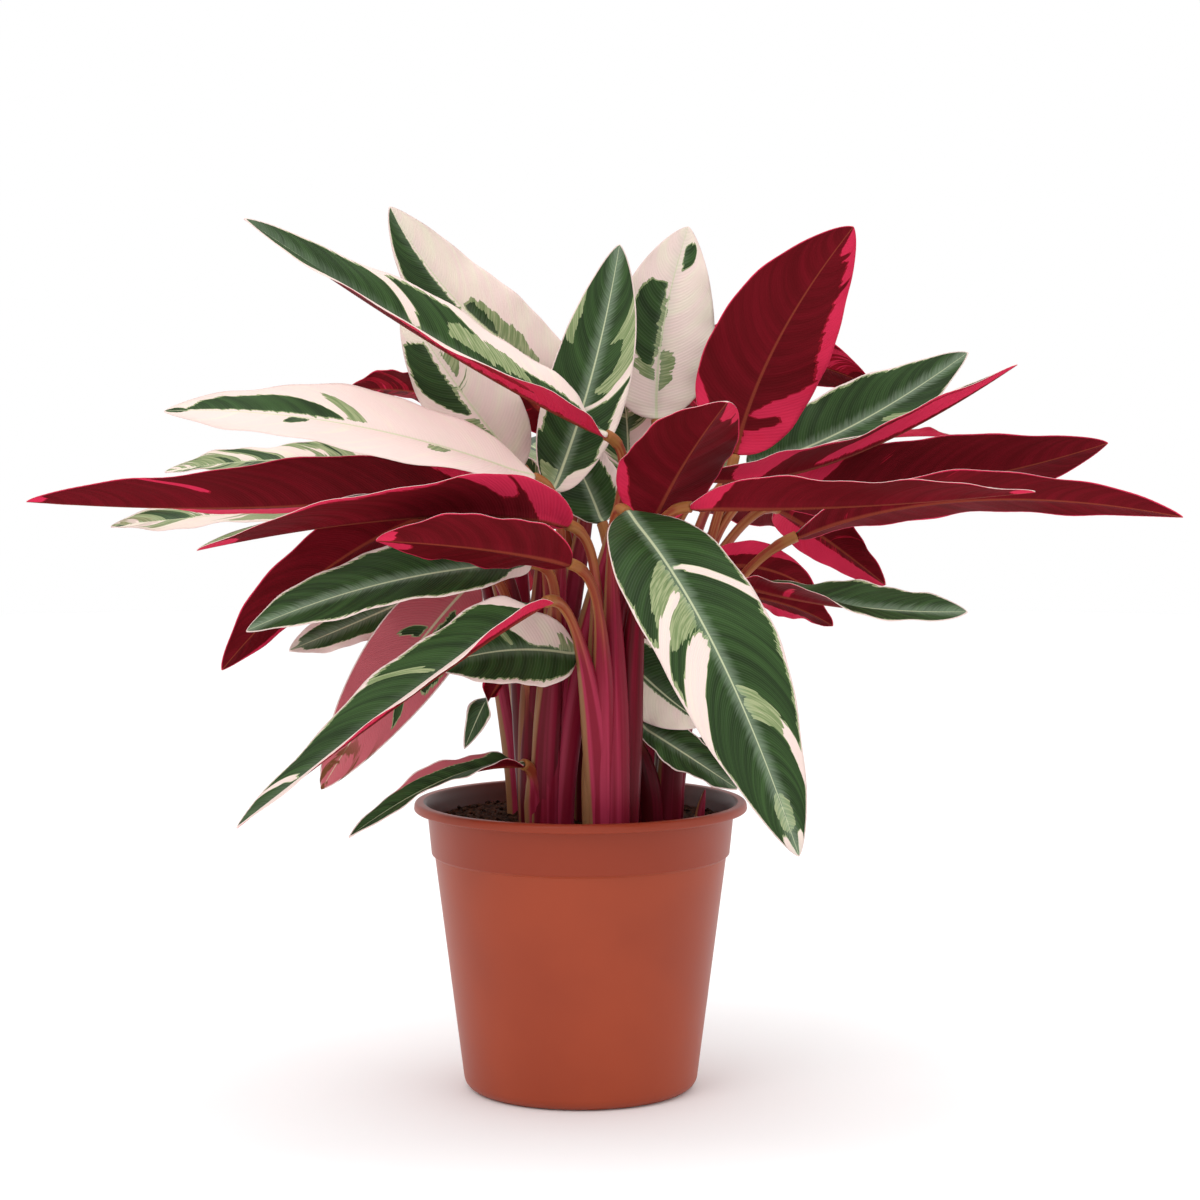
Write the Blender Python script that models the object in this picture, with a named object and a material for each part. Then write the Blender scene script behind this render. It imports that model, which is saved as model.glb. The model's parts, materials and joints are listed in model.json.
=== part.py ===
"""Potted prayer plant with cream, green and crimson leaves: pot, soil, leafy canes and blades.

Sizes are in millimetres until a point is handed to Blender, which takes metres.
X runs across the plant, -Y is its front and +Z is up. The origin is the centre of the pot's base.
"""

from collections import namedtuple
from math import cos, exp, pi, radians, sin, sqrt

import bmesh
import bpy
from mathutils import Vector, noise

MM = 0.001
GAP = 0.3            # clearance between pieces that touch

# Pot: a thin tapered nursery pot with a plain collar and a rolled rim
POT_HEIGHT = 149.5
RIM_RADIUS = 86.0
RIM_LIP = 4.7
COLLAR_TOP_RADIUS = 79.4
COLLAR_FOOT_RADIUS = 77.0
COLLAR_FOOT = 122.7
COLLAR_STEP = 1.6
BASE_RADIUS = 60.4
BASE_ROUND = 7.0
POT_WALL = 1.6
POT_SIDES = 48
DRAIN_HOLES = 6
DRAIN_RADIUS = 4.5
DRAIN_RING = 40.0

# Soil
SOIL_LEVEL = 139.0
SOIL_RINGS = 3
SOIL_LUMP = 1.6

# Canes: bundles of leaf sheaths that stand in the soil, (x, y, foot radius)
CANES = {
    "left": (-17, -21, 11.5),
    "middle": (-1, 8, 9.5),
    "front": (15, -38, 12.0),
    "right": (39, 0, 11.0),
    "back_left": (-25, 27, 11.0),
    "back_right": (28, 34, 11.0),
}
FOOT_DEPTH = 22.0
FOOT_RISE = 3.0
SHEATH_RADIUS = 7.2
PETIOLE_RADIUS = 2.5
STEM_SIDES = 6
STEM_STEPS = 6
SPREAD = 0.62        # how far from the cane's middle a sheath starts, as a share of the foot's radius

# Young shoot
SHOOT_PLACE = (61, -8)
SHOOT_RADIUS = 2.6
SHOOT_HEIGHT = 17

# Blades
BLADE_THICKNESS = 0.8
STALK_HALF = 1.7     # half the height of the stalk where a blade begins
RIDGE = 1.5          # how far the midrib stands out below the blade
ROWS = (0, 0.03, 0.09, 0.19, 0.31, 0.44, 0.58, 0.72, 0.85, 0.95, 1)
FEW_ROWS = (0, 0.04, 0.15, 0.32, 0.52, 0.72, 0.90, 1)
LONG_BLADE = 100.0
COLUMNS = (-1, -0.5, 0, 0.5, 1)
WIDEST = (0.53, 0.74)   # powers of the distance to the base and to the tip in the outline

# The leaves' points are measured as they show from this viewpoint, in the plane through the pot's
# axis: across, height, and then how far the point lies behind that plane.
EYE = Vector((10, -1600, 383))

Leaf = namedtuple("Leaf", "name cane base middle tip half face_base face_tip fold_base fold_tip")

LEAF_ROWS = (
    # front, and front right
    ("front", (24, 298, -62), (69, 229, -118), (113, 120, -128), 32, (10, -60, 80), (25, -90, 35), 8, 8),
    ("front", (37, 293, -35), (53, 324, -62), (75, 355, -100), 29, (-30, 80, 50), (-30, 80, 50), 18, 20),
    ("left", (-14, 309, -22), (6, 369, -8), (20, 435, 8), 21, (-15, -100, 25), (5, -100, 20), 14, 14),
    ("middle", (39, 346, 24), (42, 391, 28), (55, 444, 28), 28, (0, -100, 20), (10, -100, 20), 12, 12),
    ("right", (79, 328, 14), (100, 385, 15), (139, 444, 0), 33, (-25, 100, 10), (-25, 100, 20), 10, 12),
    ("right", (86, 321, 48), (140, 343, 62), (198, 380, 60), 25, (-10, -75, 65), (-10, -75, 65), 14, 14),
    ("right", (57, 317, -6), (130, 325, 2), (223, 374, 14), 17, (0, 10, 98), (0, 10, 98), 46, 42),
    ("right", (100, 310, 18), (181, 313, 26), (270, 334, 28), 26, (0, 85, 50), (0, 85, 50), 22, 14),
    ("right", (111, 286, -14), (202, 305, -4), (309, 296, 4), 17, (0, 65, 75), (0, 75, 60), 22, 20),
    ("front", (57, 301, -48), (138, 302, -68), (233, 309, -64), 21, (0, 42, 90), (0, 5, 100), 42, 30),
    ("back_right", (101, 300, 62), (127, 284, 84), (157, 261, 60), 15, (10, 90, 30), (10, 90, 30), 14, 14),
    ("right", (81, 262, -26), (138, 250, -52), (199, 247, -66), 20, (0, 30, 95), (0, -70, 70), 40, 12),
    ("right", (73, 257, 12), (104, 252, 14), (130, 240, 12), 15, (0, 60, 80), (0, 70, 70), 20, 14),
    ("right", (64, 268, 0), (92, 270, -2), (121, 257, -4), 13, (0, 97, 20), (0, 97, 20), 14, 14),
    ("back_right", (63, 306, 64), (88, 303, 94), (114, 289, 118), 20, (0, 80, 60), (0, 80, 60), 12, 12),
    # left
    ("left", (13, 338, -34), (-70, 382, -58), (-171, 448, -46), 24, (20, -30, 95), (20, -52, 85), 48, 36),
    ("back_left", (-4, 366, 22), (-56, 399, 24), (-97, 454, 16), 24, (10, -90, 40), (10, -90, 40), 14, 14),
    ("left", (-30, 321, 0), (-61, 360, -4), (-90, 404, 0), 23, (10, -95, 30), (10, -95, 30), 14, 14),
    ("left", (-24, 316, -52), (-118, 343, -84), (-213, 350, -76), 23, (0, -65, 75), (0, -65, 75), 18, 12),
    ("left", (-37, 315, -24), (-152, 302, -32), (-284, 304, -30), 27, (0, 60, 80), (0, 50, 87), 34, 30),
    ("front", (-7, 292, -58), (-87, 296, -92), (-197, 279, -82), 29, (0, 50, 87), (0, -20, 95), 40, 34),
    ("left", (-82, 304, 20), (-169, 298, 24), (-241, 291, 18), 22, (0, -35, 94), (0, -35, 94), 14, 10),
    ("back_left", (-92, 326, 44), (-159, 325, 52), (-213, 319, 50), 15, (0, -40, 90), (0, -40, 90), 14, 10),
    ("front", (-6, 272, -78), (-52, 280, -102), (-105, 284, -108), 20, (0, 70, 70), (0, 70, 70), 24, 16),
    ("left", (-26, 272, -54), (-100, 262, -82), (-172, 237, -88), 22, (0, -60, 80), (0, -60, 80), 14, 12),
    ("left", (-70, 300, 10), (-130, 270, -4), (-185, 217, -26), 21, (-30, 80, 40), (-30, 80, 40), 18, 18),
    ("back_left", (-76, 259, 8), (-112, 243, 10), (-150, 227, 0), 15, (0, -80, 60), (0, -80, 60), 10, 10),
    ("left", (-54, 264, -16), (-92, 219, -26), (-134, 155, -34), 22, (20, -90, 30), (20, -90, 30), 12, 12),
    ("front", (-18, 252, -86), (-77, 212, -124), (-178, 135, -130), 22, (-30, -26, 90), (-30, -45, 80), 46, 34),
    ("front", (-2, 225, -46), (-39, 227, -68), (-76, 218, -92), 23, (0, -85, 50), (0, -85, 50), 14, 12),
    ("left", (-36, 216, -30), (-47, 204, -34), (-60, 176, -34), 8, (-30, 80, 40), (30, -60, 40), 14, 14),
    ("left", (-30, 168, -38), (-70, 160, -66), (-120, 130, -90), 11, (0, -20, 98), (0, -40, 90), 40, 24),
    # low, inside the clump
    ("middle", (16, 231, -16), (40, 207, -15), (64, 189, -20), 19, (10, -99, 5), (10, -99, 10), 16, 16),
    ("right", (31, 188, -16), (56, 172, -22), (81, 155, -28), 13, (20, -70, 70), (20, -70, 70), 14, 10),
    ("right", (56, 178, 15), (66, 168, 21), (76, 157, 27), 12, (20, -70, 70), (20, -70, 70), 14, 10),
    ("middle", (11, 293, 0), (2, 315, 6), (-9, 337, 10), 18, (30, -90, 20), (30, -90, 20), 16, 16),
    # behind
    ("back_right", (36, 319, 44), (30, 366, 52), (31, 414, 56), 18, (40, 90, 10), (40, 90, 10), 18, 18),
    ("middle", (23, 304, 28), (24, 340, 38), (19, 376, 44), 20, (20, -100, 0), (20, -100, 0), 16, 16),
    ("back_right", (47, 355, 86), (90, 377, 104), (149, 363, 100), 26, (0, 80, 60), (0, 80, 60), 12, 12),
    ("back_right", (56, 314, 64), (70, 331, 74), (94, 356, 84), 16, (-30, -80, 50), (-30, -80, 50), 14, 14),
    ("back_right", (112, 329, 84), (153, 337, 96), (193, 337, 98), 14, (0, 10, 100), (0, 10, 100), 20, 14),
    ("back_left", (-56, 354, 64), (-87, 361, 76), (-119, 361, 84), 15, (0, 60, 80), (0, 60, 80), 16, 14),
    ("back_left", (-10, 340, 50), (-30, 360, 58), (-43, 375, 64), 14, (-30, 90, 30), (-30, 90, 30), 14, 14),
    ("back_left", (-18, 304, 26), (-41, 319, 30), (-64, 328, 34), 15, (0, -70, 70), (0, -70, 70), 14, 14),
    ("back_left", (-10, 314, 76), (-30, 334, 150), (-49, 320, 224), 25, (0, 0, 100), (0, 20, 100), 22, 16),
    ("back_right", (20, 315, 84), (30, 339, 162), (43, 332, 238), 25, (0, 0, 100), (0, 20, 100), 22, 16),
    ("back_right", (37, 273, 66), (51, 274, 140), (62, 232, 200), 24, (0, 0, 100), (10, 50, 80), 22, 16),
    ("back_left", (-11, 273, 56), (-25, 276, 134), (-40, 243, 194), 24, (0, 0, 100), (-10, 50, 80), 22, 16),
)

LEAVES = [Leaf(f"leaf_{number:02d}", *row) for number, row in enumerate(LEAF_ROWS, 1)]


def clear_scene():
    for obj in list(bpy.data.objects):
        bpy.data.objects.remove(obj, do_unlink=True)


def material(name, colour, roughness, metallic=0.0):
    made = bpy.data.materials.new(name)
    made.use_nodes = True
    shader = made.node_tree.nodes["Principled BSDF"]
    shader.inputs["Base Color"].default_value = (*colour, 1)
    shader.inputs["Roughness"].default_value = roughness
    shader.inputs["Metallic"].default_value = metallic
    return made


def add_object(name, points, faces, finish, smooth=True):
    """An object from points in millimetres and the faces between them."""
    mesh = bpy.data.meshes.new(name)
    mesh.from_pydata([Vector(p) * MM for p in points], [], faces)
    mesh.materials.append(finish)
    if smooth:
        mesh.shade_smooth()
        mesh.set_sharp_from_angle(angle=radians(40))
    obj = bpy.data.objects.new(name, mesh)
    bpy.context.scene.collection.objects.link(obj)
    return obj


def seen(place):
    """The point that shows at (across, height) in the axis plane and lies depth behind it."""
    across, height, depth = place
    on_plane = Vector((across, 0, height))
    return EYE + (on_plane - EYE) * (1 - depth / EYE.y)


def smoothstep(low, high, x):
    s = min(1, max(0, (x - low) / (high - low)))
    return s * s * (3 - 2 * s)


# Pot and soil

def turned(name, profile, sides, finish):
    """A solid of revolution about Z. The profile is (radius, height), from below to above."""
    ring = profile[1:-1]
    points = [(0, 0, profile[0][1])]
    for radius, height in ring:
        points += [(radius * cos(2 * pi * k / sides), radius * sin(2 * pi * k / sides), height)
                   for k in range(sides)]
    points.append((0, 0, profile[-1][1]))
    last = len(points) - 1
    faces = []
    for k in range(sides):
        after = (k + 1) % sides
        faces.append((0, 1 + after, 1 + k))
        for r in range(len(ring) - 1):
            low, high = 1 + r * sides, 1 + (r + 1) * sides
            faces.append((low + k, low + after, high + after, high + k))
        top = 1 + (len(ring) - 1) * sides
        faces.append((top + k, top + after, last))
    return add_object(name, points, faces, finish)


def inner_wall():
    """The pot's inner profile from the floor up, as (radius, height)."""
    return [
        (BASE_RADIUS - BASE_ROUND - 0.4, POT_WALL + 0.4),
        (BASE_RADIUS - POT_WALL, BASE_ROUND + 1),
        (COLLAR_FOOT_RADIUS - COLLAR_STEP - POT_WALL, COLLAR_FOOT - 1.4),
        (COLLAR_FOOT_RADIUS - POT_WALL, COLLAR_FOOT + 0.8),
        (COLLAR_TOP_RADIUS - POT_WALL, POT_HEIGHT - 6),
    ]


def make_pot(finish):
    outer = [
        (0, 0),
        (BASE_RADIUS - BASE_ROUND, 0),
        (BASE_RADIUS - 0.3 * BASE_ROUND, 2.0),
        (BASE_RADIUS, BASE_ROUND),
        (COLLAR_FOOT_RADIUS - COLLAR_STEP, COLLAR_FOOT - 1.4),
        (COLLAR_FOOT_RADIUS, COLLAR_FOOT),
        (COLLAR_TOP_RADIUS, POT_HEIGHT - RIM_LIP),
    ]
    rim = [
        (RIM_RADIUS - 0.8, POT_HEIGHT - RIM_LIP),
        (RIM_RADIUS, POT_HEIGHT - RIM_LIP + 1.4),
        (RIM_RADIUS - 0.6, POT_HEIGHT - 1.0),
        (RIM_RADIUS - 2.2, POT_HEIGHT),
        (RIM_RADIUS - 4.2, POT_HEIGHT - 0.8),
    ]
    pot = turned("pot", outer + rim + inner_wall()[::-1] + [(0, POT_WALL + 0.4)], POT_SIDES, finish)
    cutters = []
    for k in range(DRAIN_HOLES):
        angle = 2 * pi * (k + 0.5) / DRAIN_HOLES
        cutters.append(cylinder(f"drain_cutter_{k}", DRAIN_RING * cos(angle), DRAIN_RING * sin(angle),
                                DRAIN_RADIUS, -5, 8, 10))
    combine(pot, cutters, "DIFFERENCE")
    return pot


def cylinder(name, x, y, radius, low, high, sides):
    """An upright closed cylinder, as a mesh object with no material."""
    points = []
    for height in (low, high):
        points += [(x + radius * cos(2 * pi * k / sides), y + radius * sin(2 * pi * k / sides), height)
                   for k in range(sides)]
    faces = [tuple(range(sides))[::-1], tuple(range(sides, 2 * sides))]
    faces += [(k, (k + 1) % sides, sides + (k + 1) % sides, sides + k) for k in range(sides)]
    mesh = bpy.data.meshes.new(name)
    mesh.from_pydata([Vector(p) * MM for p in points], [], faces)
    obj = bpy.data.objects.new(name, mesh)
    bpy.context.scene.collection.objects.link(obj)
    return obj


def combine(target, others, operation):
    """Applies one Boolean of the target with all the others, which are then removed."""
    group = bpy.data.collections.new(target.name + "_operands")
    bpy.context.scene.collection.children.link(group)
    for obj in others:
        bpy.context.scene.collection.objects.unlink(obj)
        group.objects.link(obj)
    modifier = target.modifiers.new("combine", "BOOLEAN")
    modifier.operation = operation
    modifier.operand_type = "COLLECTION"
    modifier.collection = group
    modifier.solver = "EXACT"
    bpy.context.view_layer.update()
    graph = bpy.context.evaluated_depsgraph_get()
    joined = bpy.data.meshes.new_from_object(target.evaluated_get(graph))
    target.modifiers.remove(modifier)
    target.data = joined
    for obj in others:
        bpy.data.objects.remove(obj, do_unlink=True)
    bpy.data.collections.remove(group)


def drop_scraps(obj):
    """Keeps the largest connected piece of a mesh, without the crumbs that a union can leave."""
    made = bmesh.new()
    made.from_mesh(obj.data)
    waiting = set(made.verts)
    pieces = []
    while waiting:
        piece = {waiting.pop()}
        edge_of_piece = list(piece)
        while edge_of_piece:
            vert = edge_of_piece.pop()
            for edge in vert.link_edges:
                other = edge.other_vert(vert)
                if other in waiting:
                    waiting.remove(other)
                    piece.add(other)
                    edge_of_piece.append(other)
        pieces.append(piece)
    pieces.sort(key=len)
    for piece in pieces[:-1]:
        bmesh.ops.delete(made, geom=list(piece), context="VERTS")
    made.to_mesh(obj.data)
    made.free()


def soil_height(x, y):
    return SOIL_LEVEL + SOIL_LUMP * noise.noise(Vector((x, y, 4.0)) * 0.09)


def make_soil(finish):
    """Potting soil that fills the pot, with a lumpy top and a plain hole for each cane."""
    wall = [(radius - GAP - 0.3, height + GAP) for radius, height in inner_wall()[:-1]]
    top_radius = wall[-1][0] + (wall[-1][0] - wall[-2][0]) * 0.9
    wall.append((top_radius, SOIL_LEVEL - 1))
    points = [(0, 0, wall[0][1])]
    rings = list(wall)
    rings += [(top_radius * (1 - (r + 1) / (SOIL_RINGS + 1)), None) for r in range(SOIL_RINGS)]
    for radius, height in rings:
        for k in range(POT_SIDES):
            x, y = radius * cos(2 * pi * k / POT_SIDES), radius * sin(2 * pi * k / POT_SIDES)
            points.append((x, y, height if height is not None else soil_height(x, y)))
    points.append((0, 0, soil_height(0, 0)))
    last = len(points) - 1
    faces = []
    for k in range(POT_SIDES):
        after = (k + 1) % POT_SIDES
        faces.append((0, 1 + after, 1 + k))
        for r in range(len(rings) - 1):
            low, high = 1 + r * POT_SIDES, 1 + (r + 1) * POT_SIDES
            faces.append((low + k, low + after, high + after))
            faces.append((low + k, high + after, high + k))
        top = 1 + (len(rings) - 1) * POT_SIDES
        faces.append((top + k, top + after, last))
    soil = add_object("soil", points, faces, finish)
    holes = [cylinder(f"hole_{name}", x, y, radius + GAP, SOIL_LEVEL - FOOT_DEPTH - GAP, SOIL_LEVEL + 20, 14)
             for name, (x, y, radius) in CANES.items()]
    holes.append(cylinder("hole_shoot", *SHOOT_PLACE, SHOOT_RADIUS + GAP, SOIL_LEVEL - FOOT_DEPTH - GAP,
                          SOIL_LEVEL + 20, 8))
    combine(soil, holes, "DIFFERENCE")
    return soil


# Leaves

def midrib(leaf, t):
    """A point on the midrib and its direction, on the parabola through the leaf's base, middle and tip."""
    base, middle, tip = seen(leaf.base), seen(leaf.middle), seen(leaf.tip)
    bend = 2 * middle - (base + tip) / 2
    point = base * (1 - t) ** 2 + bend * (2 * t * (1 - t)) + tip * t ** 2
    along = (bend - base) * (1 - t) + (tip - bend) * t
    return point, along.normalized()


def half_width(leaf, t):
    """Half the blade's width: round at the base, drawn to a point at the tip."""
    near_base, near_tip = WIDEST
    peak = near_base / (near_base + near_tip)
    largest = peak ** near_base * (1 - peak) ** near_tip
    return max(STALK_HALF + 0.5 * (1 - t), leaf.half * t ** near_base * (1 - t) ** near_tip / largest)


def wave(leaf, t, v):
    """The height of the waved edge above the blade, in millimetres."""
    phase = LEAVES.index(leaf) * 2.4 + (1.3 if v > 0 else 0)
    return 1.5 * v * v * sin(2 * pi * 2.2 * t + phase) * smoothstep(0, 0.25, t) * smoothstep(1, 0.8, t)


def section(leaf, t):
    """The blade's upper and lower points across one station."""
    point, along = midrib(leaf, t)
    hint = Vector(leaf.face_base).lerp(Vector(leaf.face_tip), t)
    normal = (hint - along * hint.dot(along)).normalized()
    side = along.cross(normal)
    fold = radians(leaf.fold_base + (leaf.fold_tip - leaf.fold_base) * t) * smoothstep(0, 0.12, t)
    half = half_width(leaf, t)
    stalk = exp(-(t / 0.04) ** 2)
    upper, lower = [], []
    for v in COLUMNS:
        angle = fold * (1 - 0.25 * abs(v))
        reach = half * abs(v)
        hand = 1 if v > 0 else -1
        centre = point + side * (hand * reach * cos(angle)) + normal * (reach * sin(angle) + wave(leaf, t, v))
        outward = (normal * cos(angle) - side * (hand * sin(angle))) if v else normal
        swell = stalk * STALK_HALF * sqrt(max(0, 1 - v * v)) * 0.8
        rib = RIDGE * (1 - 0.8 * t) if v == 0 else 0
        upper.append(centre + outward * (BLADE_THICKNESS / 2 + swell))
        lower.append(centre - outward * (BLADE_THICKNESS / 2 + swell + rib * (1 - stalk)))
    return upper, lower


def make_blade(leaf, finish):
    """One blade with its midrib: a closed skin, its upper and lower faces split into triangles alike."""
    long_blade = (Vector(leaf.tip) - Vector(leaf.base)).length > LONG_BLADE
    rows = ROWS if long_blade else FEW_ROWS
    across, count = len(COLUMNS), len(rows)
    upper, lower = [], []
    for t in rows:
        above, below = section(leaf, t)
        upper += above
        lower += below
    under = len(upper)
    faces = []
    for i in range(count - 1):
        for j in range(across - 1):
            a, b = i * across + j, i * across + j + 1
            c, d = a + across, b + across
            faces += [(a, b, d), (a, d, c)]
            faces += [(under + a, under + d, under + b), (under + a, under + c, under + d)]
        for j, turn in ((0, 1), (across - 1, -1)):
            a, c = i * across + j, (i + 1) * across + j
            faces += [(a, c, under + c)[::turn], (a, under + c, under + a)[::turn]]
    for i, turn in ((0, -1), (count - 1, 1)):
        for j in range(across - 1):
            a, b = i * across + j, i * across + j + 1
            faces += [(a, b, under + b)[::turn], (a, under + b, under + a)[::turn]]
    return add_object(leaf.name, upper + lower, faces, finish)


# Canes

def stem_path(leaf):
    """The sheath and stalk of one leaf, from inside its cane's foot up and over to the blade."""
    x, y, radius = CANES[leaf.cane]
    base, along = midrib(leaf, 0)
    away = Vector((base.x - x, base.y - y, 0))
    away = away.normalized() if away.length > 1 else Vector((0, -1, 0))
    start = Vector((x, y, SOIL_LEVEL + 0.6 * FOOT_RISE)) + away * (radius * SPREAD)
    end = base - along * GAP
    rise = (end - start).length
    up = start + Vector((away.x * 0.03, away.y * 0.03, 0.58)) * rise
    turn = end - along * min(34, 0.2 * rise)
    path = []
    for k in range(STEM_STEPS + 1):
        t = (k / STEM_STEPS) ** 0.85
        s = 1 - t
        path.append(start * s ** 3 + up * (3 * s * s * t) + turn * (3 * s * t * t) + end * t ** 3)
    return path, along


def make_stem(name, leaf):
    """One stem as a closed tube, a broad sheath below that narrows to a round stalk."""
    path, along = stem_path(leaf)
    side = Vector((1, 0, 0))
    points, faces = [], []
    for k, point in enumerate(path):
        if k == len(path) - 1:
            ahead = along
        else:
            ahead = (path[k + 1] - path[max(0, k - 1)]).normalized()
        side = (side - ahead * side.dot(ahead)).normalized()
        other = ahead.cross(side)
        share = 1 - smoothstep(0.1, 0.62, k / (len(path) - 1))
        radius = PETIOLE_RADIUS + (SHEATH_RADIUS - PETIOLE_RADIUS) * share
        for m in range(STEM_SIDES):
            angle = 2 * pi * m / STEM_SIDES
            out = side * cos(angle) + other * ((1 - 0.2 * share) * sin(angle))
            points.append(point + out * radius)
    last = len(path) - 1
    for k in range(last):
        for m in range(STEM_SIDES):
            a, b = k * STEM_SIDES + m, k * STEM_SIDES + (m + 1) % STEM_SIDES
            faces.append((a, b, b + STEM_SIDES, a + STEM_SIDES))
    faces.append(tuple(range(STEM_SIDES))[::-1])
    faces.append(tuple(last * STEM_SIDES + m for m in range(STEM_SIDES)))
    mesh = bpy.data.meshes.new(name)
    mesh.from_pydata([p * MM for p in points], [], faces)
    obj = bpy.data.objects.new(name, mesh)
    bpy.context.scene.collection.objects.link(obj)
    return obj


def make_cane(name, finish):
    """One leafy cane: a round foot in the soil with the stems of its leaves joined to it."""
    x, y, radius = CANES[name]
    cane = cylinder(f"cane_{name}", x, y, radius, SOIL_LEVEL - FOOT_DEPTH, SOIL_LEVEL + FOOT_RISE, 14)
    stems = [make_stem(f"stem_{leaf.name}", leaf) for leaf in LEAVES if leaf.cane == name]
    combine(cane, stems, "UNION")
    drop_scraps(cane)
    cane.data.materials.clear()
    cane.data.materials.append(finish)
    cane.data.shade_smooth()
    cane.data.set_sharp_from_angle(angle=radians(50))
    return cane


def make_shoot(finish):
    """A young rolled leaf that stands out of the soil near the rim."""
    x, y = SHOOT_PLACE
    sides = 8
    stations = (
        (-FOOT_DEPTH, 1.0, 0),
        (0, 1.0, 0),
        (0.5 * SHOOT_HEIGHT, 0.8, 0.8),
        (0.85 * SHOOT_HEIGHT, 0.45, 2.0),
        (SHOOT_HEIGHT, 0.15, 3.0),
    )
    points, faces = [], []
    for rise, share, lean in stations:
        radius = SHOOT_RADIUS * share
        for k in range(sides):
            angle = 2 * pi * k / sides
            points.append((x + lean + radius * cos(angle), y + radius * sin(angle), SOIL_LEVEL + rise))
    for r in range(len(stations) - 1):
        for k in range(sides):
            a, b = r * sides + k, r * sides + (k + 1) % sides
            faces.append((a, b, b + sides, a + sides))
    faces.append(tuple(range(sides))[::-1])
    faces.append(tuple((len(stations) - 1) * sides + k for k in range(sides)))
    return add_object("new_shoot", points, faces, finish)


def main():
    clear_scene()
    terracotta = material("pot_plastic", (0.45, 0.10, 0.035), 0.42)
    peat = material("potting_soil", (0.035, 0.014, 0.008), 0.95)
    stem = material("stem", (0.36, 0.05, 0.09), 0.45)
    blade = material("leaf", (0.06, 0.14, 0.05), 0.4)
    make_pot(terracotta)
    make_soil(peat)
    for name in CANES:
        make_cane(name, stem)
    make_shoot(stem)
    for leaf in LEAVES:
        make_blade(leaf, blade)


main()
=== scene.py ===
"""Dresses the potted prayer plant: fine blades with their markings, stems, soil and pot.

Sizes are in millimetres until a point is handed to Blender, which takes metres. The leaves' table and
the shapes below are those of the solid model, drawn with more and finer stations.
"""

import json
import random
from collections import namedtuple
from math import cos, exp, pi, radians, sin, sqrt

import bpy
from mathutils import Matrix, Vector, noise

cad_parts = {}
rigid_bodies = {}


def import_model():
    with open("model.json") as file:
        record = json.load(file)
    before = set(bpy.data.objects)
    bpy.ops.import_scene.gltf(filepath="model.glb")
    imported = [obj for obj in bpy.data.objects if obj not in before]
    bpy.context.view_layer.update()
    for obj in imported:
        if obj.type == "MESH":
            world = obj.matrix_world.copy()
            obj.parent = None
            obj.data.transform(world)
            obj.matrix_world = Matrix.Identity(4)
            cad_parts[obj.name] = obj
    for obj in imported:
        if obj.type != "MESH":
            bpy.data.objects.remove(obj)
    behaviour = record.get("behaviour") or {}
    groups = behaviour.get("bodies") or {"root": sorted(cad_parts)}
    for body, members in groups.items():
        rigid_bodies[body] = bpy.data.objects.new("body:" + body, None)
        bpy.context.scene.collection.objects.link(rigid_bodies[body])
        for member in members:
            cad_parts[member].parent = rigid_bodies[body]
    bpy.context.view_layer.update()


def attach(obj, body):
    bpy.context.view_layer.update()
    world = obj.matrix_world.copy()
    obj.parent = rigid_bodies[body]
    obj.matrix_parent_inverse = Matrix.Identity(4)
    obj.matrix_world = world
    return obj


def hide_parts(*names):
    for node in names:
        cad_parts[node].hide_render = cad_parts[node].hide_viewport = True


MM = 0.001             # a millimetre in metres
GAP = 0.3              # clearance between pieces that touch

# Pot
POT_HEIGHT = 149.5
RIM_RADIUS = 86.0
RIM_LIP = 4.7          # height of the rolled rim
COLLAR_TOP_RADIUS = 79.4
COLLAR_FOOT_RADIUS = 77.0
COLLAR_FOOT = 122.7
COLLAR_STEP = 1.6
BASE_RADIUS = 60.4
BASE_ROUND = 7.0       # radius of the edge round the base
BASE_DISH = 0.6        # how far the middle of the base stands off the floor
POT_WALL = 1.6
POT_SIDES = 192
DRAIN_HOLES = 6
DRAIN_RADIUS = 4.5
DRAIN_RING = 40.0
DRAIN_SIDES = 28
SHARP_ANGLE = 35       # edges sharper than this stay crisp, in degrees

# Soil
SOIL_LEVEL = 139.0
SOIL_LUMP = 1.6
SOIL_RINGS = 62
SOIL_SIDES = 256
CRUMBS = 900
SOIL_DRAW = 4.0        # the lumps' chance, and the crumbs', start from these numbers
CRUMB_DRAW = 5

# Canes: bundles of leaf sheaths that stand in the soil, (x, y, foot radius)
CANES = {
    "left": (-17, -21, 11.5),
    "middle": (-1, 8, 9.5),
    "front": (15, -38, 12.0),
    "right": (39, 0, 11.0),
    "back_left": (-25, 27, 11.0),
    "back_right": (28, 34, 11.0),
}
FOOT_DEPTH = 22.0
FOOT_RISE = 3.0
FOOT_SIDES = 40
SHEATH_RADIUS = 7.2
PETIOLE_RADIUS = 2.5
SPREAD = 0.62          # how far from the cane's middle a sheath starts, as a share of the foot's radius
SHEATH_ENDS = (0.1, 0.62)   # the sheath narrows to the stalk between these shares of its length
SHEATH_ROOT = 12       # how far a sheath reaches down into the foot
TURN = 34              # at most this far below the blade the stalk turns over
STEM_STEPS = 40
STEM_SIDES = 18
JOINT_SWELL = 0.45     # the stalk thickens by this below the blade,
JOINT_FROM, JOINT_TO = 26, 20   # over the stretch between these distances

# Young shoot
SHOOT_PLACE = (61, -8)
SHOOT_RADIUS = 2.6
SHOOT_HEIGHT = 17
SHOOT_LEAN = 3
SHOOT_ROWS = 40
SHOOT_SIDES = 24

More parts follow.
